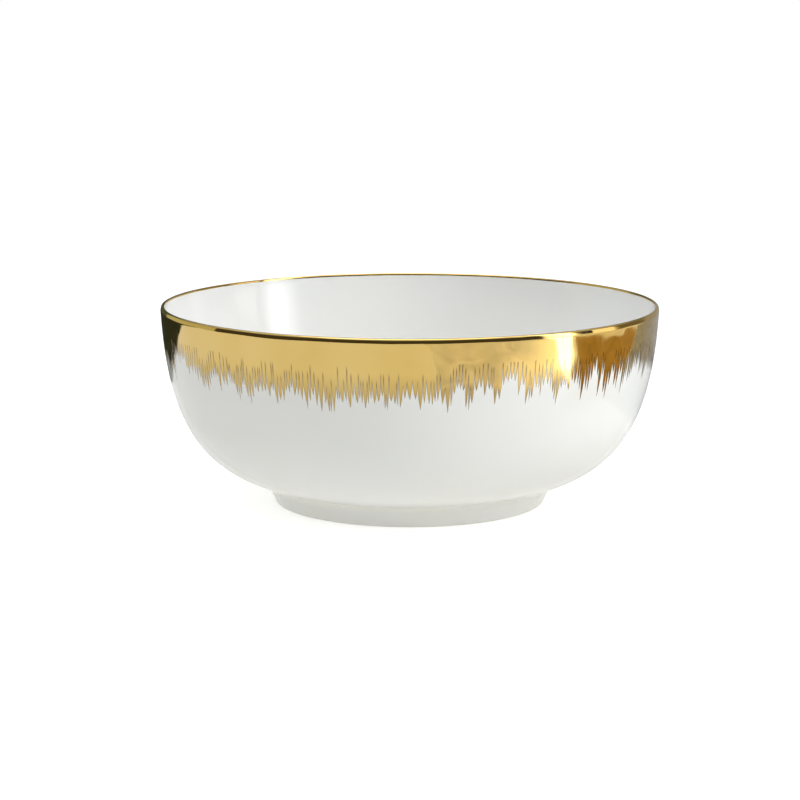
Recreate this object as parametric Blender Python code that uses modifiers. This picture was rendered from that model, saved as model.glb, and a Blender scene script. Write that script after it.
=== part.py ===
"""Round porcelain serving bowl on a low foot ring, gilded over its lip and in a feathered band below it.

Metres, +Z up. The origin is the centre of the foot's resting plane, and +Z is the axis that every piece is
turned about. A profile point is (radius, height). A depth is measured down from the top of the lip.
"""

import math
import random

import bmesh
import bpy
from mathutils import Vector

# The outer skin: what a finger touches on the outside, gold included.
RIM_RADIUS = 0.1270
HEIGHT = 0.1018
JOIN_RADIUS = 0.0740  # where the wall meets the foot
JOIN_Z = 0.0106
SLOPE_AT_FOOT = math.radians(13.7)  # above level, as the wall leaves the foot
SLOPE_AT_LIP = math.radians(87.1)
PULL_AT_FOOT = 0.0388  # lengths of the two handles that bend the wall's curve
PULL_AT_LIP = 0.0522

# The porcelain wall and floor.
LIP_THICKNESS = 0.0021
BELLY_THICKNESS = 0.0036
FLOOR_THICKNESS = 0.0046
BELLY_T = 0.35  # where along the wall's curve the belly's thickness is reached
LIP_TAPER = 8  # power of the taper: above 1, the wall keeps its thickness and thins mostly near the lip
FLOOR_UNDERSIDE_Z = 0.0090
LEVEL_FLOOR_RADIUS = 0.0560  # the inner floor is level inside this, and turns up outside it

# The foot ring.
FOOT_RADIUS = 0.0695  # outside, just above the edge that it stands on
FOOT_INNER_RADIUS = 0.0658
FOOT_ROOT_RADIUS = 0.0620  # inside, where it spreads under the floor
FOOT_ROOT_DROP = 0.0010  # how far below its top the root's curve bends down
FOOT_EDGE_ROUND = 0.0007

# The gold: a thin film that lies in a shallow rebate in the porcelain, flush with the glaze below it.
FILM_THICKNESS = 0.0002
CLEARANCE = 0.0003  # left between pieces that touch
RIM_LINE_DEPTH = 0.0029  # down the outside of the lip
RIM_LINE_INSIDE_DEPTH = 0.0014
STROKES = 72
NOTCH_DEPTH = 0.0150  # to the bare gaps between the brush strokes
STROKE_DEPTH = 0.0300  # to the tips of the strokes
STROKE_SCATTER = 0.0050
NOTCH_SCATTER = 0.0022
SCATTER_SEED = 7

# How finely the curves are divided.
SEGMENTS = 72
WALL_STEPS = 13
TURN_STEPS = 3
LIP_STEPS = 4
EDGE_STEPS = 2
BAND_ROWS = 3
HALVINGS = 40

LIP_ROUND = LIP_THICKNESS / 2
REBATE = FILM_THICKNESS + CLEARANCE
REBATE_FULL_T = 0.5  # the wall falls back smoothly up to here, well below the longest stroke

PORCELAIN = (0.86, 0.86, 0.84)
FOOT_PORCELAIN = (0.84, 0.84, 0.81)
GOLD = (0.67, 0.48, 0.17)


def clear_scene():
    for obj in list(bpy.data.objects):
        bpy.data.objects.remove(obj, do_unlink=True)


def make_material(name, colour, roughness, metallic=0.0):
    material = bpy.data.materials.new(name)
    material.use_nodes = True
    shader = material.node_tree.nodes["Principled BSDF"]
    shader.inputs["Base Color"].default_value = (*colour, 1.0)
    shader.inputs["Roughness"].default_value = roughness
    shader.inputs["Metallic"].default_value = metallic
    return material


def ease(x):
    """0 to 1 with level ends, and held at them outside that range."""
    x = min(max(x, 0.0), 1.0)
    return x * x * (3.0 - 2.0 * x)


def arc(centre, radius, start, end, steps):
    angles = [start + (end - start) * i / steps for i in range(steps + 1)]
    return [centre + radius * Vector((math.cos(a), math.sin(a))) for a in angles]


def bend(start, corner, end, steps):
    """Points on a curve that leaves start towards corner and reaches end from it."""
    shares = [i / steps for i in range(steps + 1)]
    return [(1 - s) ** 2 * start + 2 * s * (1 - s) * corner + s * s * end for s in shares]


def wall(t):
    """The outer skin's point and outward normal: t is 0 at the foot and 1 where the lip's round begins."""
    foot = Vector((JOIN_RADIUS, JOIN_Z))
    lip = Vector((RIM_RADIUS, HEIGHT - LIP_ROUND))
    low = foot + PULL_AT_FOOT * Vector((math.cos(SLOPE_AT_FOOT), math.sin(SLOPE_AT_FOOT)))
    high = lip - PULL_AT_LIP * Vector((math.cos(SLOPE_AT_LIP), math.sin(SLOPE_AT_LIP)))
    u = 1.0 - t
    point = u**3 * foot + 3 * u * u * t * low + 3 * u * t * t * high + t**3 * lip
    along = u * u * (low - foot) + 2 * u * t * (high - low) + t * t * (lip - high)
    along.normalize()
    return point, Vector((along.y, -along.x))


def wall_t(depth):
    """Where along the wall a depth below the top of the lip is, found by halving."""
    below, above = 0.0, 1.0
    for _ in range(HALVINGS):
        middle = (below + above) / 2
        if wall(middle)[0].y < HEIGHT - depth:
            below = middle
        else:
            above = middle
    return above


def wall_thickness(t):
    if t < BELLY_T:
        return FLOOR_THICKNESS + (BELLY_THICKNESS - FLOOR_THICKNESS) * ease(t / BELLY_T)
    toward_lip = (t - BELLY_T) / (1 - BELLY_T)
    return LIP_THICKNESS + (BELLY_THICKNESS - LIP_THICKNESS) * (1.0 - toward_lip**LIP_TAPER) ** 2


def outside_point(t, sunk=0.0):
    """A point on the outside of the wall, sunk into it by that much."""
    point, normal = wall(t)
    return point - sunk * normal


def inside_point(t, sunk=0.0):
    """A point on the inside of the wall, sunk into it by that much."""
    point, normal = wall(t)
    return point - (wall_thickness(t) - sunk) * normal


def over_lip(radius):
    """Half circle over the lip, from its inner side to its outer."""
    centre = Vector((RIM_RADIUS - LIP_ROUND, HEIGHT - LIP_ROUND))
    return arc(centre, radius, math.pi, 0.0, LIP_STEPS)


def underside_turn_radius():
    """Where the level underside of the floor meets the slope of the wall, carried inwards."""
    return JOIN_RADIUS - (JOIN_Z - FLOOR_UNDERSIDE_Z) / math.tan(SLOPE_AT_FOOT)


def bowl_outline():
    """Up the inside from the centre, over the lip, and down the outside to the centre of the underside."""
    floor_z = FLOOR_UNDERSIDE_Z + FLOOR_THICKNESS
    wall_start = inside_point(0.0)
    corner = Vector((wall_start.x - (wall_start.y - floor_z) / math.tan(SLOPE_AT_FOOT), floor_z))
    floor_turn = bend(Vector((LEVEL_FLOOR_RADIUS, floor_z)), corner, wall_start, TURN_STEPS)
    step_top = wall_t(RIM_LINE_INSIDE_DEPTH + CLEARANCE)
    step_foot = wall_t(RIM_LINE_INSIDE_DEPTH + CLEARANCE + REBATE)
    inside = [inside_point(step_foot * i / WALL_STEPS) for i in range(1, WALL_STEPS + 1)]
    shares = [i / WALL_STEPS for i in range(WALL_STEPS - 1, -1, -1)]
    outside = [outside_point(t, REBATE * ease(t / REBATE_FULL_T)) for t in shares]
    return (
        [Vector((0.0, floor_z))]
        + floor_turn
        + inside
        + [inside_point(step_top, REBATE)]
        + over_lip(LIP_ROUND - REBATE)
        + outside
        + [Vector((underside_turn_radius(), FLOOR_UNDERSIDE_Z)), Vector((0.0, FLOOR_UNDERSIDE_Z))]
    )


def foot_outline():
    """Clockwise round the ring's section, from its root: out along the top, down the outside, and back up."""
    top_z = FLOOR_UNDERSIDE_Z - CLEARANCE
    root = Vector((FOOT_ROOT_RADIUS, top_z))
    turn = Vector((underside_turn_radius(), top_z))
    crown_radius = JOIN_RADIUS - CLEARANCE / 2
    crown = Vector((crown_radius, top_z + (crown_radius - turn.x) * math.tan(SLOPE_AT_FOOT)))
    outer_centre = Vector((FOOT_RADIUS - FOOT_EDGE_ROUND, FOOT_EDGE_ROUND))
    inner_centre = Vector((FOOT_INNER_RADIUS + FOOT_EDGE_ROUND, FOOT_EDGE_ROUND))
    outer_edge = arc(outer_centre, FOOT_EDGE_ROUND, 0.0, -math.pi / 2, EDGE_STEPS)
    inner_edge = arc(inner_centre, FOOT_EDGE_ROUND, -math.pi / 2, -math.pi, EDGE_STEPS)
    spread_corner = Vector((FOOT_INNER_RADIUS, top_z - FOOT_ROOT_DROP))
    inner_face = bend(inner_edge[-1], spread_corner, root, TURN_STEPS)
    return [root, turn, crown] + outer_edge + inner_edge + inner_face[1:-1]


def rim_line_outline():
    """Clockwise round the arched section of the gold line that wraps the lip."""
    inside = wall_t(RIM_LINE_INSIDE_DEPTH)
    outside = wall_t(RIM_LINE_DEPTH)
    face = [inside_point(inside)] + over_lip(LIP_ROUND) + [outside_point(outside)]
    back = [inside_point(inside, FILM_THICKNESS)] + over_lip(LIP_ROUND - FILM_THICKNESS)
    back.append(outside_point(outside, FILM_THICKNESS))
    return face + back[::-1]


def add_object(name, mesh, material, collection):
    obj = bpy.data.objects.new(name, mesh)
    obj.data.materials.append(material)
    collection.objects.link(obj)
    return obj


def make_turned(name, outline, closed, material, collection):
    """A solid of revolution: a Screw modifier spins the outline once about Z."""
    edges = [(i, i + 1) for i in range(len(outline) - 1)]
    if closed:
        edges.append((len(outline) - 1, 0))
    mesh = bpy.data.meshes.new(name)
    mesh.from_pydata([(point.x, 0.0, point.y) for point in outline], edges, [])
    obj = add_object(name, mesh, material, collection)
    screw = obj.modifiers.new("Turn", "SCREW")
    screw.axis = "Z"
    screw.angle = math.tau
    screw.steps = SEGMENTS
    screw.render_steps = SEGMENTS
    screw.use_smooth_shade = True
    screw.use_merge_vertices = True
    screw.merge_threshold = 0.00001
    return obj


def stroke_depths():
    """The band's lower edge, column by column: a bare notch, then the tip of a stroke, all the way round."""
    scatter = random.Random(SCATTER_SEED)
    depths = []
    for _ in range(STROKES):
        depths.append(NOTCH_DEPTH + scatter.uniform(-NOTCH_SCATTER, NOTCH_SCATTER))
        depths.append(STROKE_DEPTH + scatter.uniform(-STROKE_SCATTER, STROKE_SCATTER))
    return depths


def make_gold_band(material, collection):
    """An open strip on the outer skin with a zigzag lower edge, given the film's thickness by Solidify."""
    top_depth = RIM_LINE_DEPTH + CLEARANCE
    depths = stroke_depths()
    sheet = bmesh.new()
    columns = []
    for i, low_depth in enumerate(depths):
        angle = math.tau * i / len(depths)
        column = []
        for row in range(BAND_ROWS + 1):
            depth = top_depth + (low_depth - top_depth) * row / BAND_ROWS
            point = outside_point(wall_t(depth))
            column.append(sheet.verts.new((point.x * math.cos(angle), point.x * math.sin(angle), point.y)))
        columns.append(column)
    for i, column in enumerate(columns):
        following = columns[(i + 1) % len(columns)]
        for row in range(BAND_ROWS):
            sheet.faces.new((column[row], column[row + 1], following[row + 1], following[row]))
    mesh = bpy.data.meshes.new("gold_band")
    sheet.to_mesh(mesh)
    sheet.free()
    mesh.shade_smooth()
    obj = add_object("gold_band", mesh, material, collection)
    film = obj.modifiers.new("Film", "SOLIDIFY")
    film.thickness = FILM_THICKNESS
    film.offset = -1.0
    return obj


def main():
    clear_scene()
    parts = bpy.data.collections.new("porcelain_serving_bowl")
    bpy.context.scene.collection.children.link(parts)
    porcelain = make_material("glazed_porcelain", PORCELAIN, 0.12)
    foot_porcelain = make_material("foot_porcelain", FOOT_PORCELAIN, 0.15)
    gold = make_material("fired_gold", GOLD, 0.16, metallic=1.0)

    bowl = make_turned("bowl_shell", bowl_outline(), False, porcelain, parts)
    others = [
        make_turned("foot_ring", foot_outline(), True, foot_porcelain, parts),
        make_turned("gold_rim_line", rim_line_outline(), True, gold, parts),
        make_gold_band(gold, parts),
    ]
    for piece in others:
        piece.parent = bowl


main()
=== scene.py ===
"""The looks of the porcelain serving bowl: fine turned porcelain, fired gold with a brushed lower edge,
and a pale studio. Metres, +Z up; the origin is the centre of the foot's resting plane and +Z is the
bowl's axis.

A profile point is (radius, height). A depth is measured down from the top of the lip.
"""

import math
import random

import bpy
import numpy as np
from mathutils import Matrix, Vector

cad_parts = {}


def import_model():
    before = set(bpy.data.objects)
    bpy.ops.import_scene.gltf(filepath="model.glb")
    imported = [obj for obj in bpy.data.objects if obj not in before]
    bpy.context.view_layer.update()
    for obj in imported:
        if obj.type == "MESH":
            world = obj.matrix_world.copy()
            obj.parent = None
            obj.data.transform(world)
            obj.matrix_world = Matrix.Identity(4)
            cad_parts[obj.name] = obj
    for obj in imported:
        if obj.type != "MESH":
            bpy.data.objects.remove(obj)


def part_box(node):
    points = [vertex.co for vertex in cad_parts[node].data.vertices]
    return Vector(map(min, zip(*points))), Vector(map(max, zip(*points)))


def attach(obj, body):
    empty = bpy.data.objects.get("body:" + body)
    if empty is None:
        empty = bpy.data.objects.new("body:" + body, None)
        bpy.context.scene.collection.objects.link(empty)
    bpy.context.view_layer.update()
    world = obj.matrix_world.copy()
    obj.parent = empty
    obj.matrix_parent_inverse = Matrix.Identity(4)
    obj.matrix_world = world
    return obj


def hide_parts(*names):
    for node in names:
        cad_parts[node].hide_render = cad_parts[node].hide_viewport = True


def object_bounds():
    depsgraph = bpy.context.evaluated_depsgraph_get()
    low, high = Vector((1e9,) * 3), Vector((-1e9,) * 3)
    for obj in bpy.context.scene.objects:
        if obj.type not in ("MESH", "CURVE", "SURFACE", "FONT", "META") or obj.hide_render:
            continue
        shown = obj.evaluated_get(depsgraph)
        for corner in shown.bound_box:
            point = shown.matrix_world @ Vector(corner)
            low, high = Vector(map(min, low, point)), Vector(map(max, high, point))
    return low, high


# The wall's curve and the porcelain's thickness, as the CAD model has them.
SLOPE_AT_FOOT = math.radians(13.7)  # above level, as the wall leaves the foot
SLOPE_AT_LIP = math.radians(87.1)
PULL_AT_FOOT = 0.0388  # lengths of the two handles that bend the wall's curve
PULL_AT_LIP = 0.0522
CLEARANCE = 0.0003  # that the CAD model leaves between touching pieces
LIP_THICKNESS = 0.0021
BELLY_THICKNESS = 0.0036
FLOOR_THICKNESS = 0.0046
BELLY_T = 0.35  # where along the wall's curve the belly's thickness is reached
LIP_TAPER = 8  # power of the taper: above 1, the wall keeps its thickness and thins mostly near the lip
FLOOR_UNDERSIDE_Z = 0.0090
LEVEL_FLOOR_RADIUS = 0.0560

# The foot ring.
FOOT_RADIUS = 0.0695
FOOT_INNER_RADIUS = 0.0658
FOOT_ROOT_RADIUS = 0.0620
FOOT_EDGE_ROUND = 0.0008
FOOT_FILLET = 0.0042  # how far the outer fillet reaches along the wall and down the foot
ROOT_FILLET_DROP = 0.0012
FOOT_TUCK = 0.00003  # of its hidden top, below the wall

# The lip.
LIP_DEPTH = 0.0027  # where its soft outer side ends
LIP_SHOULDER_DEPTH = 0.0006  # where its tighter top ends
LIP_SHOULDER_TILT = math.radians(17)  # of the surface there, away from upright
LIP_INNER_DEPTH = 0.0006  # where its inner side ends
LIP_CREST = 0.30  # share of its thickness that lies inside its highest line

# The gold film, and the line over the lip.
FILM_THICKNESS = 0.00003
FILM_LIFT = 0.00001  # of its back above the glaze
RIM_LINE_DEPTH = 0.0029
RIM_LINE_INSIDE_DEPTH = 0.0012

# The mesh of the gold band: a coarse grid above the first slits, and a fine one down to its lower edge.
SOLID_COLUMNS = 1440  # of points round the bowl
SOLID_DEPTHS = (0.0029, 0.0060, 0.0090, 0.0119)
EDGE_COLUMNS = 7200
EDGE_ROWS = 12
EDGE_ROW = 0.003  # between one row and the next
ROW_LEAD = 0.0002  # of the first row above the highest gap
LEAST_CELL = 0.00005  # a column that ends closer than this below a row has no point on it
SAME_DEPTH = 1e-6  # depths that differ by less are the same

# The band's brushed lower edge: needles side by side in pointed clusters, with hairline slits between them.
BASE_DEPTH = 0.0182  # where the white begins between clusters
BROAD_WAVE = (3, 0.0030, -16.0)  # (waves round the bowl, height, azimuth where the band is deepest)
SLOW_WAVES = ((4, 0.0009), (9, 0.0009), (17, 0.0008))  # (waves round the bowl, height)
CLUSTER_SPACING = (0.0034, 0.0120)
CLUSTER_HALF_WIDTH = (0.0018, 0.0052)
CLUSTER_REACH = (0.0015, 0.0142)  # how much further down its middle needles reach
CLUSTER_POWER = 0.90  # below 1 a cluster is broad at its base and pointed at its tip
NEEDLE_WIDTH = (0.0008, 0.0026)
NEEDLE_LENGTH = (0.0030, 0.0084)
NEEDLE_ASPECT = 3.4  # a needle is at least this many times as long as it is wide
NEEDLE_POWER = (0.65, 1.05)  # the same, of a needle
NEEDLE_PEAK = (0.35, 0.65)  # where across a needle's width its tip is
NEEDLE_BODY = (0.10, 0.55)  # share of its length along which a needle keeps most of its width
NEEDLE_BODY_POWER = 4.0
BASE_SCATTER = 0.0020  # up or down, of the gap between two needles
CLUSTER_SHARE_OF_BASE = 0.58  # of a cluster's reach that the gaps inside it follow
LONG_NEEDLES = 0.14  # share of the needles
LONG_NEEDLE_EXTRA = (0.0010, 0.0040)
SLIT_SHARE = 0.85  # share of the gaps that a slit continues upwards
SLIT_RISE = (0.0010, 0.0060)
SCRATCH_RISE = 0.0020  # how much further up the film is thin above a slit
THIN_COLUMNS = 5  # to either side of a slit or a gap, over which the gold goes from thin to full
HIGHEST_GAP = 0.0125
LONGEST_NEEDLE = 0.0360
EDGE_SEED = 11

# How finely the turned pieces are divided.
CURVE_SAMPLES = 4001  # along the wall, by which the point at a given depth is found
SEGMENTS = 360
RIM_SEGMENTS = 720
WALL_STEPS = 110
TURN_STEPS = 12
LIP_STEPS = 8
EDGE_STEPS = 6
SHARP_ANGLE = math.radians(35)

# Camera.
CAMERA_DISTANCE = 1.2
CAMERA_ELEVATION = math.radians(10.0)
CAMERA_LENS = 104.8  # mm, as the sensor's width is
CAMERA_SENSOR = 36.0
AIM = (-0.0050, 0.0, 0.0512)

# Studio. An azimuth is seen from above, in degrees from the camera's side, positive to the camera's right.
FLOOR_REACH = 8.0
FLOOR_COLOUR = (0.88, 0.88, 0.875)
FLOOR_GLOW = ((0.10, 0.62), (0.32, 0.24), (1.80, 0.56))  # (distance from the bowl's axis, glow)
BOUNCE_COLOUR = (0.80, 0.80, 0.772)
BOUNCE_GLOW = ((0.08, 0.56), (0.17, 0.03), (1.80, 0.52))
BOUNCE_DROP = 0.0002  # of the floor that only throws light back, below the one that is seen
FLOOR_MOTTLE = 0.985  # darkest share of a floor's colour
FLOOR_MOTTLE_SCALE = 3.0
FLOOR_ROUGHNESS = 0.8
SKY_COLOUR = (0.98, 0.99, 1.0)
SKY_RISE = (0.20, 0.80)  # sine of the elevation, from the horizon's tone to the zenith's
SKY_GLOW = (0.05, 0.90)
OVERHEAD_POWER = 13.0
OVERHEAD_PLACE = (0.0, 0.05, 1.5)  # azimuth, distance from the axis, height
OVERHEAD_SIZE = (1.4, 1.4)
WINDOW_AZIMUTH = 69.5
WINDOW_POWER = 4.95  # of the lamp that stands in for it, which the gloss doesn't see
WINDOW_COLOUR = (0.97, 0.985, 1.0)
WINDOW_LAMP_PLACE = (WINDOW_AZIMUTH, 1.1, 0.36)
WINDOW_LAMP_SIZE = (0.35, 0.62)
LAMP_TARGET = (0.0, 0.0, 0.06)
WINDOW_DISTANCE = 2.2  # of the card that only the gloss sees
WINDOW_SIZE = (0.92, 3.00)
WINDOW_SOFT = (0.50, 0.34)  # how far its light fades in from its left side and from its right
WINDOW_BELOW = 0.35  # of it, hidden below the table
WINDOW_GLOW = 6.0
FLAG_DISTANCE = 0.165  # of the low card that keeps the window's light off the foot
FLAG_SIZE = (0.24, 0.048)
FLAG_WEAVE_SCALE = 30.0
FLAG_ROUGHNESS = (0.7, 0.9)
SUN_PATCH = ((0.243, -0.129), (0.93, -0.56), (1.05, -0.325))
SUN_HALO = ((0.243, -0.129), (0.12, -0.30), (0.60, -0.75), (1.05, -0.60), (1.05, -0.325))
SUN_HALO_GLOW = 2.3
SUN_HALO_COLOUR = (1.0, 0.97, 0.90, 1.0)
SUN_EDGE_NORMAL = (-0.231, -0.973)  # unit, level, from the edge that both share into them
SUN_HALO_FADE = (0.03, 0.19)  # distance from that edge over which the halo fades out
SUN_HALO_START = (0.26, 0.36)  # distance from the axis where it fades in
AREA_LIFT = 0.0005  # between one area and the next
AREA_MOTTLE = (1.09, 0.76)  # palest and darkest share of an area's colour
AREA_MOTTLE_SCALE = 26.0
AREA_MOTTLE_RANGE = (0.36, 0.64)  # of the noise, from palest to darkest
AREA_START = (0.17, 0.24)  # distance from the axis where the areas on the table fade in
TABLE_AREAS = (  # (name, colour, corners of the area on the table)
    (
        "dark_corner",
        (0.035, 0.040, 0.024),
        ((-1.1, 0.24), (-0.22, 0.24), (-0.05, 0.60), (-0.05, 1.1), (-1.1, 1.1)),
    ),
    (
        "grey_corner",
        (0.42, 0.43, 0.45),
        ((0.24, -0.03), (0.72, 0.43), (0.90, 1.1), (0.0, 1.1), (0.0, 0.30)),
    ),
    (
        "brown_wood",
        (0.52, 0.33, 0.10),
        ((0.18, -0.12), (0.525, -0.165), (0.525, 0.240), (0.24, -0.03)),
    ),
    (
        "pale_beyond",
        (1.10, 1.05, 0.90),
        ((0.525, -0.165), (1.1, -0.33), (1.1, 0.80), (0.525, 0.240)),
    ),
    (
        "warm_board",
        (1.03, 1.02, 1.02),
        ((0.05, -0.20), (0.30, -0.13), (0.80, -0.30), (0.80, -0.80), (0.09, -0.84)),
    ),
)
ROOM_RINGS = ((0.85, 0.001), (0.95, 0.02), (1.0, 0.08), (1.0, 0.42))  # (distance from the axis, height)
ROOM_STEPS = 96  # round the room
ROOM_START = (0.002, 0.02)  # height where the room's rim fades in
WINDOW_SECTOR = (55.0, 84.0)  # azimuths that the room's rim leaves open
ROOM_TONES = (  # (azimuth, colour)
    (-180.0, (0.09, 0.10, 0.055)),
    (-143.0, (0.09, 0.10, 0.055)),
    (-136.0, (0.62, 0.62, 0.36)),
    (-94.0, (0.66, 0.64, 0.40)),
    (-91.5, (0.070, 0.060, 0.035)),
    (55.0, (0.070, 0.060, 0.035)),
    (80.0, (1.75, 1.72, 1.60)),
    (97.0, (1.60, 1.50, 1.30)),
    (103.0, (0.22, 0.18, 0.11)),
    (120.0, (0.20, 0.17, 0.11)),
    (130.0, (0.42, 0.40, 0.34)),
    (180.0, (0.34, 0.33, 0.29)),
)

# Glaze and clay. Colours are linear. The scale of a pattern is in its repeats to the metre.
GLAZE_COOL = (0.84, 0.85, 0.84)
GLAZE_WARM = (0.86, 0.855, 0.83)
# darker and browner glaze near where the wall meets the foot
GLAZE_NEAR_JOIN = (0.79, 0.765, 0.70)
NEAR_JOIN_SHARE = 0.62
NEAR_JOIN_REACH = 0.0034  # up and down from where the wall meets the foot
GLAZE_DRIFT_SCALE = 14.0
GLAZE_ROUGHNESS = (0.065, 0.105)
GLAZE_ROUGHNESS_SCALE = 60.0
GLAZE_IOR = 1.52
PEEL_SCALE, PEEL_STRENGTH, PEEL_HEIGHT = 420.0, 0.035, 0.0002
SWAY_SCALE, SWAY_STRENGTH, SWAY_HEIGHT = 38.0, 0.05, 0.001
BARE_CLAY = (0.70, 0.67, 0.60)
BARE_CLAY_DARK = (0.52, 0.49, 0.43)
BARE_HEIGHT = (0.00042, 0.00058)  # over which the glaze begins, above the foot's resting plane
BARE_WANDER = 0.0003
BARE_WANDER_SCALE = 120.0
CLAY_GRAIN_SCALE = 1500.0
CLAY_GRAIN_SHARE = 0.35
FOOT_ROUGHNESS = (0.07, 0.6)  # glazed, bare

# Gold.
GOLD_PALE = (0.70, 0.505, 0.190)
GOLD_DEEP = (0.64, 0.442, 0.138)
GOLD_THIN_AND_SHADED = (0.15, 0.105, 0.07)  # where the film runs out at the edge of a stroke; down the longest needles it is also painted shade, for the darker table that they reflect
GOLD_DRIFT_SCALE = 26.0
GOLD_ROUGHNESS = (0.05, 0.11)
THIN_FROM = 0.15  # of the mesh's thin_gold, below which the film looks full
THIN_SHARE = 0.85
THIN_AND_SHADED_GOLD_HEIGHT = (0.070, 0.085)  # between which the longest needles turn browner downwards, partly for thinner film and partly as painted shade for the darker table that they reflect
THIN_AND_SHADED_GOLD_SHARE = 0.38
STREAK_SCALE = 300.0
STREAK_STRETCH = 0.07  # of a streak's pattern along the bowl's axis
STREAK_STRENGTH, STREAK_HEIGHT = 0.04, 0.0002
WAVE_SCALE, WAVE_STRENGTH, WAVE_HEIGHT = 45.0, 0.45, 0.002

LEVEL = (1.0, 0.0)  # a direction in a profile
SQUARE = ((-1, -1), (1, -1), (1, 1), (-1, 1))
UP = Vector((0.0, 0.0, 1.0))
WHITE = (1.0, 1.0, 1.0, 1.0)


# ---------------------------------------------------------------- profile


class Wall:
    """The bowl's wall, from the foot (t = 0) to where the round of the lip begins (t = 1)."""

    def __init__(self, join, rim_radius, height):
        self.join = np.array(join)
        self.lip = np.array((rim_radius, height - LIP_THICKNESS / 2))
        self.height = height
        self.rim_radius = rim_radius
        self.leaves = np.array((math.cos(SLOPE_AT_FOOT), math.sin(SLOPE_AT_FOOT)))
        arrives = np.array((math.cos(SLOPE_AT_LIP), math.sin(SLOPE_AT_LIP)))
        self.low = self.join + PULL_AT_FOOT * self.leaves
        self.high = self.lip - PULL_AT_LIP * arrives
        self.fine_t = np.linspace(0.0, 1.0, CURVE_SAMPLES)
        self.fine_z = self.points(self.fine_t)[:, 1]

    def points(self, t):
        t = np.atleast_1d(t)[:, None]
        u = 1.0 - t
        return u**3 * self.join + 3 * u * u * t * self.low + 3 * u * t * t * self.high + t**3 * self.lip

    def along(self, t):
        """Unit directions up the wall."""
        t = np.atleast_1d(t)[:, None]
        u = 1.0 - t
        along = u * u * (self.low - self.join) + 2 * u * t * (self.high - self.low)
        along = along + t * t * (self.lip - self.high)
        return along / np.linalg.norm(along, axis=1)[:, None]

    def normals(self, t):
        """Unit normals that point out of the bowl."""
        along = self.along(t)
        return np.column_stack((along[:, 1], -along[:, 0]))

    def t_at_depth(self, depth):
        return np.interp(self.height - np.asarray(depth), self.fine_z, self.fine_t)

    def outside(self, t, lift=0.0):
        return self.points(t) + lift * self.normals(t)

    def inside(self, t, lift=0.0):
        """The inner face, which a positive lift moves towards the bowl's axis."""
        return self.points(t) - (wall_thickness(t)[:, None] + lift) * self.normals(t)

    def underside_turn(self):
        """Where the wall, carried on straight inside the foot, meets the floor's underside."""
        return line_crossing(self.join, self.leaves, (0.0, FLOOR_UNDERSIDE_Z), LEVEL)


def ease(x):
    x = np.clip(x, 0.0, 1.0)
    return x * x * (3.0 - 2.0 * x)


def wall_thickness(t):
    t = np.atleast_1d(t)
    low = FLOOR_THICKNESS + (BELLY_THICKNESS - FLOOR_THICKNESS) * ease(t / BELLY_T)
    toward_lip = np.clip((t - BELLY_T) / (1 - BELLY_T), 0.0, 1.0)
    high = LIP_THICKNESS + (BELLY_THICKNESS - LIP_THICKNESS) * (1.0 - toward_lip**LIP_TAPER) ** 2
    return np.where(t < BELLY_T, low, high)


def bend(start, corner, end, steps):
    """Points on a curve that leaves start towards corner and reaches end from it."""
    s = np.linspace(0.0, 1.0, steps + 1)[:, None]
    return (1 - s) ** 2 * np.array(start) + 2 * s * (1 - s) * np.array(corner) + s * s * np.array(end)


def line_crossing(p, p_along, q, q_along):
    """Where the line through p meets the line through q."""
    steps = np.linalg.solve(np.column_stack((p_along, -np.array(q_along))), np.array(q) - np.array(p))
    return np.array(p) + steps[0] * np.array(p_along)


def over_lip(wall, lift=0.0):
    """Up the lip's tight inner side, over its highest line, and down its soft outer side to the wall."""
    inner_t, outer_t = wall.t_at_depth(LIP_INNER_DEPTH), wall.t_at_depth(LIP_DEPTH)
    inner_start = wall.inside(inner_t, lift)[0]
    outer_end = wall.outside(outer_t, lift)[0]
    top = wall.height + lift
    crest = np.array((wall.rim_radius - (1.0 - LIP_CREST) * LIP_THICKNESS, top))
    wall_along = wall.along(outer_t)[0]
    shoulder_along = np.array((-math.sin(LIP_SHOULDER_TILT), math.cos(LIP_SHOULDER_TILT)))
    rise = (LIP_DEPTH - LIP_SHOULDER_DEPTH) / 2
    corner = outer_end + rise * wall_along
    shoulder = corner + rise * shoulder_along
    inner_corner = line_crossing(inner_start, wall.along(inner_t)[0], crest, LEVEL)
    inner = bend(inner_start, inner_corner, crest, LIP_STEPS)
    over = bend(crest, line_crossing(crest, LEVEL, shoulder, shoulder_along), shoulder, LIP_STEPS)
    down = bend(shoulder, corner, outer_end, LIP_STEPS)
    return np.vstack((inner, over[1:], down[1:]))


def bowl_profile(wall):
    """Up the inside from the centre, over the lip, down the outside, and under the floor to the centre."""
    floor_z = FLOOR_UNDERSIDE_Z + FLOOR_THICKNESS
    wall_start = wall.inside(0.0)[0]
    corner = line_crossing((LEVEL_FLOOR_RADIUS, floor_z), LEVEL, wall_start, wall.leaves)
    floor_turn = bend((LEVEL_FLOOR_RADIUS, floor_z), corner, wall_start, TURN_STEPS)
    inner_t = np.linspace(0.0, float(wall.t_at_depth(LIP_INNER_DEPTH)), WALL_STEPS + 1)
    outer_t = np.linspace(float(wall.t_at_depth(LIP_DEPTH)), 0.0, WALL_STEPS + 1)
    return np.vstack(
        (
            [(0.0, floor_z)],
            floor_turn,
            wall.inside(inner_t[1:-1]),
            over_lip(wall),
            wall.outside(outer_t[1:]),
            [wall.underside_turn()],
            [(0.0, FLOOR_UNDERSIDE_Z)],
        )
    )


def foot_edge(radius, start, end):
    """Points round one of the two edges that the foot stands on, from the radius of its round's centre."""
    angles = np.linspace(start, end, EDGE_STEPS + 1)
    centre = np.array((radius, FOOT_EDGE_ROUND))
    return centre + FOOT_EDGE_ROUND * np.column_stack((np.cos(angles), np.sin(angles)))


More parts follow.
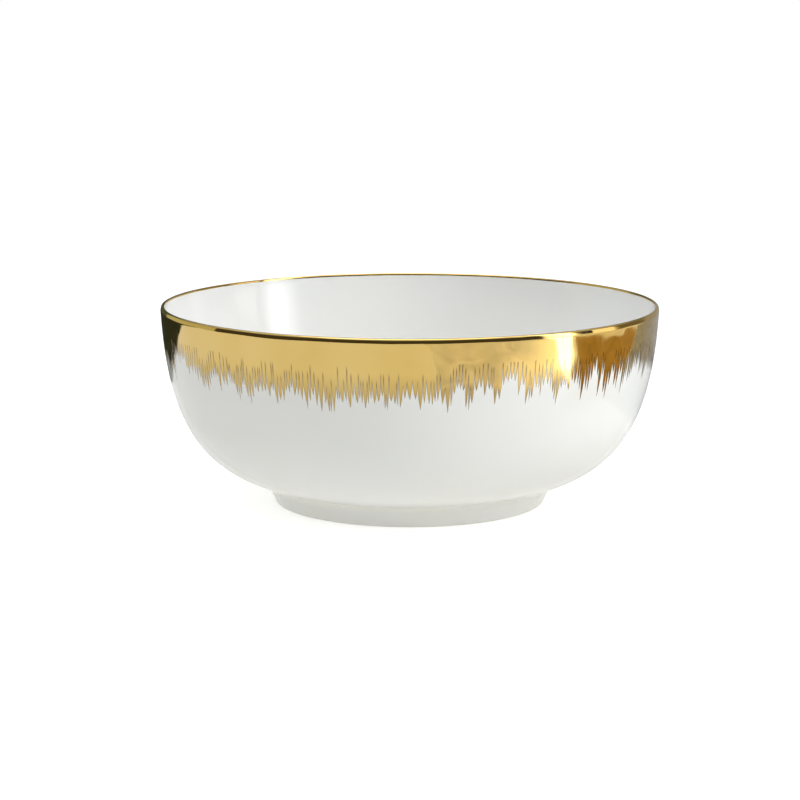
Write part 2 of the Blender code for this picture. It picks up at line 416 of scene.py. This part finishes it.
def foot_profile(wall):
    """Clockwise round the ring's section. Its fillets run out on the wall above and on the floor inside."""
    fillet_t = FOOT_FILLET / (3 * PULL_AT_FOOT)
    fillet_top = wall.points(fillet_t)[0]
    normal = wall.normals(fillet_t)[0]
    wall_along = np.array((-normal[1], normal[0]))
    face_along = wall.join - (FOOT_RADIUS, FOOT_EDGE_ROUND)
    face_along /= np.linalg.norm(face_along)
    face_tilt = math.atan2(-face_along[0], face_along[1])
    outer_edge = foot_edge(FOOT_RADIUS - FOOT_EDGE_ROUND, face_tilt, -math.pi / 2)
    inner_edge = foot_edge(FOOT_INNER_RADIUS + FOOT_EDGE_ROUND, -math.pi / 2, -math.pi)
    crossing = line_crossing(fillet_top, wall_along, outer_edge[0], face_along)
    fillet_end = crossing - FOOT_FILLET * face_along
    outer_fillet = bend(fillet_top, crossing, fillet_end, TURN_STEPS)
    root = np.array((FOOT_ROOT_RADIUS, FLOOR_UNDERSIDE_Z))
    root_corner = (FOOT_INNER_RADIUS - ROOT_FILLET_DROP, FLOOR_UNDERSIDE_Z)
    inner_face = bend(inner_edge[-1], root_corner, root, TURN_STEPS)
    hidden_top = [wall.underside_turn() - (0.0, FOOT_TUCK), wall.join - (0.0, FOOT_TUCK)]
    return np.vstack((hidden_top, outer_fillet, outer_edge, inner_edge, inner_face))


# ---------------------------------------------------------------- meshes


def add_object(name, mesh, material):
    obj = bpy.data.objects.new(name, mesh)
    obj.data.materials.append(material)
    bpy.context.scene.collection.objects.link(obj)
    return obj


def shade(mesh):
    mesh.shade_smooth()
    mesh.set_sharp_from_angle(angle=SHARP_ANGLE)


def turned(name, profile, closed, segments, material):
    """Solid of revolution from a profile that runs down its outer side. A point on the axis is a pole."""
    rings = []
    points = []
    for radius, z in profile:
        if radius == 0.0:
            rings.append([len(points)] * segments)
            points.append((0.0, 0.0, z))
            continue
        rings.append(list(range(len(points), len(points) + segments)))
        for i in range(segments):
            a = math.tau * i / segments
            points.append((radius * math.cos(a), radius * math.sin(a), z))
    faces = []
    for upper, lower in zip(rings, rings[1:] + (rings[:1] if closed else [])):
        for i in range(segments):
            j = (i + 1) % segments
            corners = (upper[i], lower[i], lower[j], upper[j])
            faces.append(tuple(dict.fromkeys(corners)))
    mesh = bpy.data.meshes.new(name)
    mesh.from_pydata(points, [], faces)
    shade(mesh)
    return add_object(name, mesh, material)


def ring_positions(chance, spacing, length):
    """Random places round a ring of that length, a random spacing apart and stretched to close it."""
    places = [0.0]
    while places[-1] < length:
        places.append(places[-1] + chance.uniform(*spacing))
    stretch = length / places[-1]
    return [p * stretch for p in places]


def slow_drift(chance, where, length):
    """How much deeper or less deep the strokes' base is from place to place."""
    broad_waves, broad_height, deepest = BROAD_WAVE
    azimuth = math.tau * where / length + math.pi / 2
    drift = broad_height * np.cos(broad_waves * (azimuth - math.radians(deepest)))
    for waves, height in SLOW_WAVES:
        drift += height * np.sin(math.tau * (waves * where / length + chance.random()))
    return drift


def cluster_reach(chance, where, length):
    """How much further down the needles of a cluster reach, as a peak at each cluster's middle."""
    reach = np.zeros(len(where))
    for centre in ring_positions(chance, CLUSTER_SPACING, length)[:-1]:
        half = chance.uniform(*CLUSTER_HALF_WIDTH)
        most = chance.uniform(*CLUSTER_REACH)
        away = np.abs((where - centre + length / 2) % length - length / 2)
        reach = np.maximum(reach, most * (1.0 - (away / half) ** CLUSTER_POWER))
    return reach


def brushed_edge(length):
    """In every column, the depth of the gold's lower edge and the depth from where it is thin."""
    chance = random.Random(EDGE_SEED)
    where = np.arange(EDGE_COLUMNS) * length / EDGE_COLUMNS
    base = BASE_DEPTH + slow_drift(chance, where, length)
    cluster = cluster_reach(chance, where, length)
    edges = ring_positions(chance, NEEDLE_WIDTH, length)
    gaps = []
    for edge in edges[:-1]:
        drop = CLUSTER_SHARE_OF_BASE * np.interp(edge, where, cluster)
        gap = np.interp(edge, where, base) + drop + chance.uniform(-BASE_SCATTER, BASE_SCATTER)
        gaps.append(max(gap, HIGHEST_GAP))
    gaps.append(gaps[0])
    depth = np.zeros(EDGE_COLUMNS)
    for left, right, left_gap, right_gap in zip(edges, edges[1:], gaps, gaps[1:]):
        peak = left + (right - left) * chance.uniform(*NEEDLE_PEAK)
        own = max(chance.uniform(*NEEDLE_LENGTH), NEEDLE_ASPECT * (right - left))
        tip = np.interp(peak, where, base) + np.interp(peak, where, cluster) + own
        if chance.random() < LONG_NEEDLES:
            tip += chance.uniform(*LONG_NEEDLE_EXTRA)
        tip = min(tip, LONGEST_NEEDLE)
        power = chance.uniform(*NEEDLE_POWER)
        here = np.nonzero((where >= left) & (where < right))[0]
        x = where[here]
        away = np.where(x < peak, (peak - x) / (peak - left), (x - peak) / (right - peak))
        gap = np.where(x < peak, left_gap, right_gap)
        body = chance.uniform(*NEEDLE_BODY)
        outline = (1.0 - body) * (1.0 - away**power) + body * (1.0 - away**NEEDLE_BODY_POWER)
        depth[here] = gap + (tip - gap) * outline
    thin_from = depth.copy()
    for edge, gap in zip(edges[:-1], gaps):
        if chance.random() < SLIT_SHARE:
            column = round(edge / length * EDGE_COLUMNS) % EDGE_COLUMNS
            depth[column] = max(gap - chance.uniform(*SLIT_RISE), HIGHEST_GAP)
            thin_from[column] = depth[column] - SCRATCH_RISE
    return depth, thin_from


def nearness_to_gap(thin_from, point_depth):
    """1 at that depth in a column whose film is thin there, falling to 0 some columns away from one."""
    near = np.zeros(EDGE_COLUMNS)
    for step in range(THIN_COLUMNS):
        weight = 1.0 - step / THIN_COLUMNS
        for way in (-step, step):
            near = np.maximum(near, weight * (np.roll(thin_from, way) <= point_depth + SAME_DEPTH))
    return near


def gold_band(wall, length, material):
    """The band's film. Rows of points stop at the brushed edge, where each column has one more point."""
    depth, thin_from = brushed_edge(length)
    points = []
    thin = []
    faces = []

    def add_row(at_depth, columns, count, thinness):
        """Points at that depth, or at each column's own, in some of count columns round the bowl."""
        profile = wall.outside(wall.t_at_depth(at_depth), FILM_LIFT + FILM_THICKNESS)
        a = math.tau * columns / count
        first = len(points)
        radius = np.broadcast_to(profile[:, 0], a.shape)
        z = np.broadcast_to(profile[:, 1], a.shape)
        points.extend(zip(radius * np.cos(a), radius * np.sin(a), z))
        thin.extend(thinness)
        return first

    solid = np.arange(SOLID_COLUMNS)
    starts = [add_row(d, solid, SOLID_COLUMNS, np.zeros(SOLID_COLUMNS)) for d in SOLID_DEPTHS]
    for upper, lower in zip(starts, starts[1:]):
        for i in range(SOLID_COLUMNS):
            j = (i + 1) % SOLID_COLUMNS
            faces.append((upper + i, lower + i, lower + j, upper + j))

    fine = np.arange(EDGE_COLUMNS)
    row_depths = [HIGHEST_GAP - ROW_LEAD + EDGE_ROW * i for i in range(EDGE_ROWS)]
    row_index = []
    for row_depth in row_depths:
        index = np.full(EDGE_COLUMNS, -1)
        reached = fine[depth > row_depth + LEAST_CELL]
        if len(reached):
            near = nearness_to_gap(thin_from, row_depth)[reached]
            start = add_row(row_depth, reached, EDGE_COLUMNS, near)
            index[reached] = start + np.arange(len(reached))
        row_index.append(index)
    end = add_row(depth, fine, EDGE_COLUMNS, np.ones(EDGE_COLUMNS))

    each = EDGE_COLUMNS // SOLID_COLUMNS
    for i in range(SOLID_COLUMNS):
        j = (i + 1) % SOLID_COLUMNS
        below = [row_index[0][(i * each + k) % EDGE_COLUMNS] for k in range(each + 1)]
        faces.append((starts[-1] + i, *below, starts[-1] + j))

    counts = np.sum([index >= 0 for index in row_index], axis=0)
    for i in range(EDGE_COLUMNS):
        j = (i + 1) % EDGE_COLUMNS
        shared = min(counts[i], counts[j])
        for upper, lower in zip(row_index[: shared - 1], row_index[1:shared]):
            faces.append((upper[i], lower[i], lower[j], upper[j]))
        left = [row_index[row][i] for row in range(shared - 1, counts[i])]
        right = [row_index[row][j] for row in range(shared - 1, counts[j])]
        faces.append((*left, end + i, end + j, *right[::-1]))

    mesh = bpy.data.meshes.new("gold_band_film")
    mesh.from_pydata([tuple(map(float, p)) for p in points], [], [tuple(map(int, f)) for f in faces])
    attribute = mesh.attributes.new("thin_gold", "FLOAT", "POINT")
    attribute.data.foreach_set("value", np.array(thin, np.float32))
    obj = add_object("gold_band_film", mesh, material)
    film = obj.modifiers.new("Film", "SOLIDIFY")
    film.thickness = FILM_THICKNESS
    film.offset = -1.0
    return apply_modifiers(obj)


def apply_modifiers(obj):
    graph = bpy.context.evaluated_depsgraph_get()
    mesh = bpy.data.meshes.new_from_object(obj.evaluated_get(graph))
    obj.modifiers.clear()
    obj.data = mesh
    shade(mesh)
    return obj


def gold_rim_line(wall, material):
    """The line over the lip, from a little way down its inside to where the band begins outside."""
    inner_t = wall.t_at_depth(RIM_LINE_INSIDE_DEPTH)
    outer_t = wall.t_at_depth(RIM_LINE_DEPTH)
    sides = []
    for lift in (FILM_LIFT + FILM_THICKNESS, FILM_LIFT):
        first, last = wall.inside(inner_t, lift), wall.outside(outer_t, lift)
        sides.append(np.vstack((first, over_lip(wall, lift), last)))
    return turned("gold_rim_film", np.vstack((sides[0], sides[1][::-1])), True, RIM_SEGMENTS, material)


# ---------------------------------------------------------------- materials


class Nodes:
    """A short way to build a material's nodes and link them."""

    def __init__(self, name):
        self.material = bpy.data.materials.new(name)
        self.material.use_nodes = True
        self.tree = self.material.node_tree
        self.shader = self.tree.nodes["Principled BSDF"]

    def add(self, kind, settings=None, **inputs):
        made = self.tree.nodes.new(kind)
        for key, value in (settings or {}).items():
            setattr(made, key, value)
        for key, value in inputs.items():
            self.put(made, key.replace("_", " "), value)
        return made

    def put(self, node, socket, value):
        """Links a (node, output) pair to the input, or sets a plain value on it."""
        target = node.inputs[int(socket) if socket.isdigit() else socket]
        if isinstance(value, tuple) and len(value) == 2 and hasattr(value[0], "outputs"):
            self.tree.links.new(value[0].outputs[value[1]], target)
        else:
            target.default_value = value

    def noise(self, vector, scale, detail=2.0, roughness=0.5):
        made = self.add("ShaderNodeTexNoise", Scale=scale, Detail=detail, Roughness=roughness)
        self.put(made, "Vector", vector)
        return (made, "Fac")

    def spread(self, value, low, high, from_low=0.3, from_high=0.7):
        """Maps a value on to low to high. Its own range is a noise pattern's, unless given."""
        made = self.add("ShaderNodeMapRange")
        limits = {"From Min": from_low, "From Max": from_high, "To Min": low, "To Max": high}
        for socket, limit in limits.items():
            made.inputs[socket].default_value = limit
        self.put(made, "Value", value)
        return (made, "Result")

    def mix(self, share, a, b):
        made = self.add("ShaderNodeMix", {"data_type": "RGBA"})
        for index, value in ((0, share), (6, a), (7, b)):
            if isinstance(value, tuple) and hasattr(value[0], "outputs"):
                self.tree.links.new(value[0].outputs[value[1]], made.inputs[index])
            else:
                made.inputs[index].default_value = (*value, 1.0) if isinstance(value, tuple) else value
        return (made, 2)

    def calculate(self, operation, *values):
        made = self.add("ShaderNodeMath", {"operation": operation})
        for index, value in enumerate(values):
            self.put(made, str(index), value)
        return (made, 0)

    def bump(self, height, strength, distance, normal=None):
        made = self.add("ShaderNodeBump", Strength=strength, Distance=distance)
        self.put(made, "Height", height)
        if normal:
            self.put(made, "Normal", normal)
        return (made, "Normal")


def object_position(nodes):
    return (nodes.add("ShaderNodeTexCoord"), "Object")


def height_of(nodes, position):
    split = nodes.add("ShaderNodeSeparateXYZ")
    nodes.put(split, "Vector", position)
    return (split, "Z")


def glaze_colour(nodes, position, join_z):
    """White with a slow drift from cool to warm, and darker and browner near where the wall meets the foot.
    """
    drift = nodes.spread(nodes.noise(position, GLAZE_DRIFT_SCALE, detail=3.0), 0.0, 1.0)
    colour = nodes.mix(drift, GLAZE_COOL, GLAZE_WARM)
    above_join = nodes.calculate("SUBTRACT", height_of(nodes, position), join_z)
    away = nodes.calculate("ABSOLUTE", above_join)
    # darker and browner near where the wall meets the foot
    near_join = nodes.spread(away, NEAR_JOIN_SHARE, 0.0, 0.0, NEAR_JOIN_REACH)
    return nodes.mix(near_join, colour, GLAZE_NEAR_JOIN)


def finish_glaze(nodes, position, roughness):
    """The gloss of the glaze and the faint orange peel in it."""
    nodes.put(nodes.shader, "Roughness", roughness)
    peel = nodes.bump(nodes.noise(position, PEEL_SCALE, detail=1.0), PEEL_STRENGTH, PEEL_HEIGHT)
    sway = nodes.bump(nodes.noise(position, SWAY_SCALE), SWAY_STRENGTH, SWAY_HEIGHT, peel)
    nodes.put(nodes.shader, "Normal", sway)
    nodes.shader.inputs["IOR"].default_value = GLAZE_IOR


def porcelain_material(join_z):
    nodes = Nodes("glazed_porcelain")
    position = object_position(nodes)
    nodes.put(nodes.shader, "Base Color", glaze_colour(nodes, position, join_z))
    shine = nodes.noise(position, GLAZE_ROUGHNESS_SCALE, detail=4.0)
    finish_glaze(nodes, position, nodes.spread(shine, *GLAZE_ROUGHNESS))
    return nodes.material


def foot_material(join_z):
    """Glazed like the bowl, but wiped bare where it stands, down to the warmer, matt clay with its grain."""
    nodes = Nodes("foot_porcelain")
    position = object_position(nodes)
    wander = nodes.noise(position, BARE_WANDER_SCALE)
    line = nodes.calculate("MULTIPLY_ADD", wander, BARE_WANDER, height_of(nodes, position))
    bare = nodes.spread(line, 1.0, 0.0, *BARE_HEIGHT)
    grain = nodes.spread(nodes.noise(position, CLAY_GRAIN_SCALE), 0.0, CLAY_GRAIN_SHARE)
    clay = nodes.mix(grain, BARE_CLAY, BARE_CLAY_DARK)
    nodes.put(nodes.shader, "Base Color", nodes.mix(bare, glaze_colour(nodes, position, join_z), clay))
    finish_glaze(nodes, position, nodes.spread(bare, *FOOT_ROUGHNESS, 0.0, 1.0))
    return nodes.material


def gold_material():
    """Fired gold: a mirror with faint brush streaks down the wall, browner where the film thins out, and
    browner down the longest needles, partly for thinner film and partly as painted shade for the darker
    table that they reflect.
    """
    nodes = Nodes("fired_gold")
    position = object_position(nodes)
    stretch = nodes.add("ShaderNodeMapping")
    nodes.put(stretch, "Vector", position)
    stretch.inputs["Scale"].default_value = (1.0, 1.0, STREAK_STRETCH)
    streaks = nodes.noise((stretch, "Vector"), STREAK_SCALE, detail=3.0, roughness=0.6)
    drift = nodes.spread(nodes.noise(position, GOLD_DRIFT_SCALE), 0.0, 1.0)
    colour = nodes.mix(drift, GOLD_PALE, GOLD_DEEP)
    thinness = nodes.add("ShaderNodeAttribute", {"attribute_name": "thin_gold"})
    thin = nodes.spread((thinness, "Fac"), 0.0, THIN_SHARE, THIN_FROM, 1.0)
    # Painted shade in part: the longest needles turn browner downwards, for thinner film and for the darker
    # table that they reflect.
    low = nodes.spread(height_of(nodes, position), THIN_AND_SHADED_GOLD_SHARE, 0.0, *THIN_AND_SHADED_GOLD_HEIGHT)
    thin_and_shaded = nodes.calculate("MAXIMUM", thin, low)
    nodes.put(nodes.shader, "Base Color", nodes.mix(thin_and_shaded, colour, GOLD_THIN_AND_SHADED))
    nodes.put(nodes.shader, "Roughness", nodes.spread(streaks, *GOLD_ROUGHNESS))
    nodes.shader.inputs["Metallic"].default_value = 1.0
    waves = nodes.bump(nodes.noise(position, WAVE_SCALE, detail=1.0), WAVE_STRENGTH, WAVE_HEIGHT)
    nodes.put(nodes.shader, "Normal", nodes.bump(streaks, STREAK_STRENGTH, STREAK_HEIGHT, waves))
    return nodes.material


# ---------------------------------------------------------------- studio


def on_ring(azimuth, radius, z):
    """A place round the bowl: azimuth 0 is in front of it, towards the camera, and 90 to its right."""
    a = math.radians(azimuth)
    return (radius * math.sin(a), -radius * math.cos(a), z)


def across_at(azimuth):
    """The level direction across the line from the bowl's axis to that azimuth."""
    a = math.radians(azimuth)
    return Vector((math.cos(a), math.sin(a), 0.0))


def distance_from_axis(nodes, position):
    flat = nodes.add("ShaderNodeVectorMath", {"operation": "MULTIPLY"})
    nodes.put(flat, "0", position)
    nodes.put(flat, "1", (1.0, 1.0, 0.0))
    length = nodes.add("ShaderNodeVectorMath", {"operation": "LENGTH"})
    nodes.put(length, "0", (flat, 0))
    return (length, "Value")


def distance_along(nodes, start, direction):
    """How far a place lies from start in that direction."""
    offset = nodes.add("ShaderNodeVectorMath", {"operation": "SUBTRACT"})
    nodes.put(offset, "0", object_position(nodes))
    nodes.put(offset, "1", tuple(start))
    along = nodes.add("ShaderNodeVectorMath", {"operation": "DOT_PRODUCT"})
    nodes.put(along, "0", (offset, 0))
    nodes.put(along, "1", tuple(direction))
    return (along, "Value")


def glow_by_distance(nodes, position, glow):
    """The glow that evens out the light which reaches the floor near the bowl and far from it."""
    distance = distance_from_axis(nodes, position)
    (near, low), (middle, half), (far, high) = glow
    inner = nodes.spread(distance, low, half, near, middle)
    outer = nodes.spread(distance, 0.0, high - half, middle, far)
    return nodes.calculate("ADD", inner, outer)


def pale_sheet(name, z, colour, glow):
    """A wide matt sheet, lit softly from within as a light table is."""
    mesh = bpy.data.meshes.new(name)
    mesh.from_pydata([(FLOOR_REACH * x, FLOOR_REACH * y, z) for x, y in SQUARE], [], [(0, 1, 2, 3)])
    nodes = Nodes(name)
    position = object_position(nodes)
    darker = tuple(FLOOR_MOTTLE * c for c in colour)
    tone = nodes.mix(nodes.noise(position, FLOOR_MOTTLE_SCALE), colour, darker)
    nodes.put(nodes.shader, "Base Color", tone)
    nodes.put(nodes.shader, "Emission Color", tone)
    nodes.put(nodes.shader, "Emission Strength", glow_by_distance(nodes, position, glow))
    nodes.shader.inputs["Roughness"].default_value = FLOOR_ROUGHNESS
    nodes.shader.inputs["Specular IOR Level"].default_value = 0.0
    sheet = add_object(name, mesh, nodes.material)
    return sheet


def make_floor():
    """The floor that is seen, and under it a greyer one that throws the light back on to the bowl."""
    seen = pale_sheet("studio_floor", 0.0, FLOOR_COLOUR, FLOOR_GLOW)
    seen.visible_diffuse = False
    seen.visible_glossy = False
    seen.visible_shadow = False
    bounce = pale_sheet("bounce_floor", -BOUNCE_DROP, BOUNCE_COLOUR, BOUNCE_GLOW)
    bounce.visible_camera = False


def reflected_only(obj):
    """Hides an object from everything but mirror-like reflections."""
    obj.visible_camera = False
    obj.visible_diffuse = False
    obj.visible_shadow = False
    obj.visible_transmission = False


def show_glow(nodes, colour, strength, share):
    """Ends a material in a glow that covers that share of what lies behind it."""
    glow = nodes.add("ShaderNodeEmission", Strength=strength)
    nodes.put(glow, "Color", colour)
    clear = nodes.add("ShaderNodeBsdfTransparent")
    mixed = nodes.add("ShaderNodeMixShader")
    nodes.put(mixed, "0", share)
    nodes.put(mixed, "1", (clear, 0))
    nodes.put(mixed, "2", (glow, 0))
    nodes.put(nodes.tree.nodes["Material Output"], "Surface", (mixed, 0))


def flat_card(name, corners):
    """A card that only the bowl's gloss sees. Returns its material's nodes, still without a glow."""
    mesh = bpy.data.meshes.new(name)
    mesh.from_pydata(corners, [], [tuple(range(len(corners)))])
    nodes = Nodes(name + "_glow")
    reflected_only(add_object(name, mesh, nodes.material))
    return nodes


def tone_by_azimuth(nodes, split):
    """The room's colour, from the X and Y that a position is split into."""
    forward = nodes.calculate("MULTIPLY", (split, "Y"), -1.0)
    azimuth = nodes.calculate("ARCTAN2", (split, "X"), forward)
    ramp = nodes.add("ShaderNodeValToRGB")
    nodes.put(ramp, "Fac", nodes.spread(azimuth, 0.0, 1.0, -math.pi, math.pi))
    elements = ramp.color_ramp.elements
    for index, (degrees, colour) in enumerate(ROOM_TONES):
        at = degrees / 360.0 + 0.5
        element = elements[index] if index < 2 else elements.new(at)
        element.position = at
        element.color = (*colour, 1.0)
    return (ramp, "Color")


def make_room():
    """The studio's upright rim, which only the bowl's gloss sees: dark in front and paler at the sides."""
    points = []
    for radius, z in ROOM_RINGS:
        points += [on_ring(360.0 * i / ROOM_STEPS, radius, z) for i in range(ROOM_STEPS)]
    faces = []
    for ring in range(len(ROOM_RINGS) - 1):
        lower, upper = ring * ROOM_STEPS, (ring + 1) * ROOM_STEPS
        for i in range(ROOM_STEPS):
            j = (i + 1) % ROOM_STEPS
            if not WINDOW_SECTOR[0] < 360.0 * i / ROOM_STEPS < WINDOW_SECTOR[1]:
                faces.append((lower + i, lower + j, upper + j, upper + i))
    mesh = bpy.data.meshes.new("room")
    mesh.from_pydata(points, [], faces)
    mesh.shade_smooth()
    nodes = Nodes("room_tones")
    split = nodes.add("ShaderNodeSeparateXYZ")
    nodes.put(split, "Vector", object_position(nodes))
    share = nodes.spread((split, "Z"), 0.0, 1.0, *ROOM_START)
    show_glow(nodes, tone_by_azimuth(nodes, split), 1.0, share)
    reflected_only(add_object("room", mesh, nodes.material))


def make_table_areas():
    """Areas of the table that only the bowl's gloss sees."""
    for index, (name, colour, corners) in enumerate(TABLE_AREAS):
        nodes = flat_card(name, [(x, y, (index + 1) * AREA_LIFT) for x, y in corners])
        position = object_position(nodes)
        pattern = nodes.noise(position, AREA_MOTTLE_SCALE, detail=4.0, roughness=0.62)
        pale, dark = (tuple(share * c for c in colour) for share in AREA_MOTTLE)
        tone = nodes.mix(nodes.spread(pattern, 0.0, 1.0, *AREA_MOTTLE_RANGE), pale, dark)
        share = nodes.spread(distance_from_axis(nodes, position), 0.0, 1.0, *AREA_START)
        show_glow(nodes, tone, 1.0, share)


def make_sunlight():
    """The sun's patch on the table, with a softer halo on one side of it, for the bowl's gloss only."""
    lift = (len(TABLE_AREAS) + 1) * AREA_LIFT
    corners = [Vector((x, y, lift)) for x, y in SUN_HALO]
    nodes = flat_card("sun_halo", corners)
    inward = distance_along(nodes, corners[0], (*SUN_EDGE_NORMAL, 0.0))
    distance = distance_from_axis(nodes, object_position(nodes))
    fade_out = nodes.spread(inward, 1.0, 0.0, *SUN_HALO_FADE)
    fade_in = nodes.spread(distance, 0.0, 1.0, *SUN_HALO_START)
    show_glow(nodes, SUN_HALO_COLOUR, SUN_HALO_GLOW, nodes.calculate("MULTIPLY", fade_out, fade_in))
    nodes = flat_card("sun_patch", [(x, y, lift + AREA_LIFT) for x, y in SUN_PATCH])
    show_glow(nodes, WHITE, WINDOW_GLOW, 1.0)


def make_window_card():
    """The tall bright window that the gold and the glaze reflect. It is softer on its curtained side."""
    width, height = WINDOW_SIZE
    across = across_at(WINDOW_AZIMUTH)
    centre = Vector(on_ring(WINDOW_AZIMUTH, WINDOW_DISTANCE, height / 2 - WINDOW_BELOW))
    corners = [centre + across * x * width / 2 + UP * y * height / 2 for x, y in SQUARE]
    nodes = flat_card("window_card", corners)
    along = distance_along(nodes, centre, across)
    fade_in = nodes.spread(along, 0.0, 1.0, -width / 2, WINDOW_SOFT[0] - width / 2)
    fade_out = nodes.spread(along, 1.0, 0.0, width / 2 - WINDOW_SOFT[1], width / 2)
    show_glow(nodes, WHITE, WINDOW_GLOW, nodes.calculate("MULTIPLY", fade_in, fade_out))


def area_light(name, spot, size, power, colour):
    data = bpy.data.lights.new(name, "AREA")
    data.shape = "RECTANGLE"
    data.size, data.size_y = size
    data.energy = power
    data.color = colour
    light = bpy.data.objects.new(name, data)
    light.location = on_ring(*spot)
    light.rotation_mode = "QUATERNION"
    light.rotation_quaternion = (Vector(LAMP_TARGET) - light.location).to_track_quat("-Z", "Y")
    light.visible_camera = False
    bpy.context.scene.collection.objects.link(light)
    return light


def make_lights():
    area_light("overhead", OVERHEAD_PLACE, OVERHEAD_SIZE, OVERHEAD_POWER, WHITE[:3])
    window = area_light("window", WINDOW_LAMP_PLACE, WINDOW_LAMP_SIZE, WINDOW_POWER, WINDOW_COLOUR)
    window.visible_glossy = False


def make_flag():
    """A low card beside the bowl. It isn't seen, but it stands in the window's light and shades the foot."""
    width, height = FLAG_SIZE
    middle = Vector(on_ring(WINDOW_AZIMUTH, FLAG_DISTANCE, height / 2))
    across = across_at(WINDOW_AZIMUTH)
    corners = [middle + across * x * width / 2 + UP * y * height / 2 for x, y in SQUARE]
    mesh = bpy.data.meshes.new("flag")
    mesh.from_pydata(corners, [], [(0, 1, 2, 3)])
    nodes = Nodes("flag_card")
    weave = nodes.noise(object_position(nodes), FLAG_WEAVE_SCALE)
    nodes.put(nodes.shader, "Roughness", nodes.spread(weave, *FLAG_ROUGHNESS))
    flag = add_object("flag", mesh, nodes.material)
    flag.visible_camera = False
    flag.visible_diffuse = False
    flag.visible_glossy = False
    flag.visible_transmission = False


def make_world():
    """Soft light from all round, brighter overhead than at the horizon, and a white background."""
    world = bpy.data.worlds.new("studio")
    bpy.context.scene.world = world
    world.use_nodes = True
    tree = world.node_tree
    sky = tree.nodes["Background"]
    sky.inputs["Color"].default_value = (*SKY_COLOUR, 1.0)
    coordinates = tree.nodes.new("ShaderNodeTexCoord")
    split = tree.nodes.new("ShaderNodeSeparateXYZ")
    rise = tree.nodes.new("ShaderNodeMapRange")
    rise.interpolation_type = "SMOOTHSTEP"
    sockets = ("From Min", "From Max", "To Min", "To Max")
    for socket, value in zip(sockets, (*SKY_RISE, *SKY_GLOW)):
        rise.inputs[socket].default_value = value
    tree.links.new(coordinates.outputs["Generated"], split.inputs[0])
    tree.links.new(split.outputs["Z"], rise.inputs["Value"])
    tree.links.new(rise.outputs[0], sky.inputs["Strength"])
    backdrop = tree.nodes.new("ShaderNodeBackground")
    backdrop.inputs["Color"].default_value = WHITE
    seen = tree.nodes.new("ShaderNodeLightPath")
    mixed = tree.nodes.new("ShaderNodeMixShader")
    tree.links.new(seen.outputs["Is Camera Ray"], mixed.inputs[0])
    tree.links.new(sky.outputs[0], mixed.inputs[1])
    tree.links.new(backdrop.outputs[0], mixed.inputs[2])
    tree.links.new(mixed.outputs[0], tree.nodes["World Output"].inputs["Surface"])


def make_camera():
    data = bpy.data.cameras.new("camera")
    data.lens = CAMERA_LENS
    data.sensor_width = CAMERA_SENSOR
    camera = bpy.data.objects.new("camera", data)
    away = (0.0, -math.cos(CAMERA_ELEVATION), math.sin(CAMERA_ELEVATION))
    camera.location = Vector(AIM) + CAMERA_DISTANCE * Vector(away)
    camera.rotation_euler = (math.pi / 2 - CAMERA_ELEVATION, 0.0, 0.0)
    bpy.context.scene.collection.objects.link(camera)
    bpy.context.scene.camera = camera


# ---------------------------------------------------------------- the bowl


def place(piece, node):
    """Puts a piece on the body in place of the CAD's node."""
    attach(piece, "root")
    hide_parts(node)


def make_bowl(cad_high):
    rim_radius = cad_high.x - FILM_LIFT - FILM_THICKNESS
    height = cad_high.z - FILM_LIFT - FILM_THICKNESS
    foot_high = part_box("foot_ring")[1]
    join_radius = foot_high.x + CLEARANCE / 2
    join_z = foot_high.z + CLEARANCE + CLEARANCE / 2 * math.tan(SLOPE_AT_FOOT)
    wall = Wall((join_radius, join_z), rim_radius, height)
    porcelain = porcelain_material(join_z)
    foot_porcelain = foot_material(join_z)
    gold = gold_material()
    bowl = turned("bowl_porcelain", bowl_profile(wall), False, SEGMENTS, porcelain)
    foot = turned("foot_ring_porcelain", foot_profile(wall), True, SEGMENTS, foot_porcelain)
    band = gold_band(wall, math.tau * rim_radius, gold)
    rim = gold_rim_line(wall, gold)
    place(bowl, "bowl_shell")
    place(foot, "foot_ring")
    place(band, "gold_band")
    place(rim, "gold_rim_line")


def main():
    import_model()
    cad_low, cad_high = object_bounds()
    bpy.context.scene.view_settings.view_transform = "Standard"
    make_camera()
    make_world()
    make_lights()
    make_flag()
    make_floor()
    make_room()
    make_table_areas()
    make_sunlight()
    make_window_card()
    make_bowl(cad_high)


main()
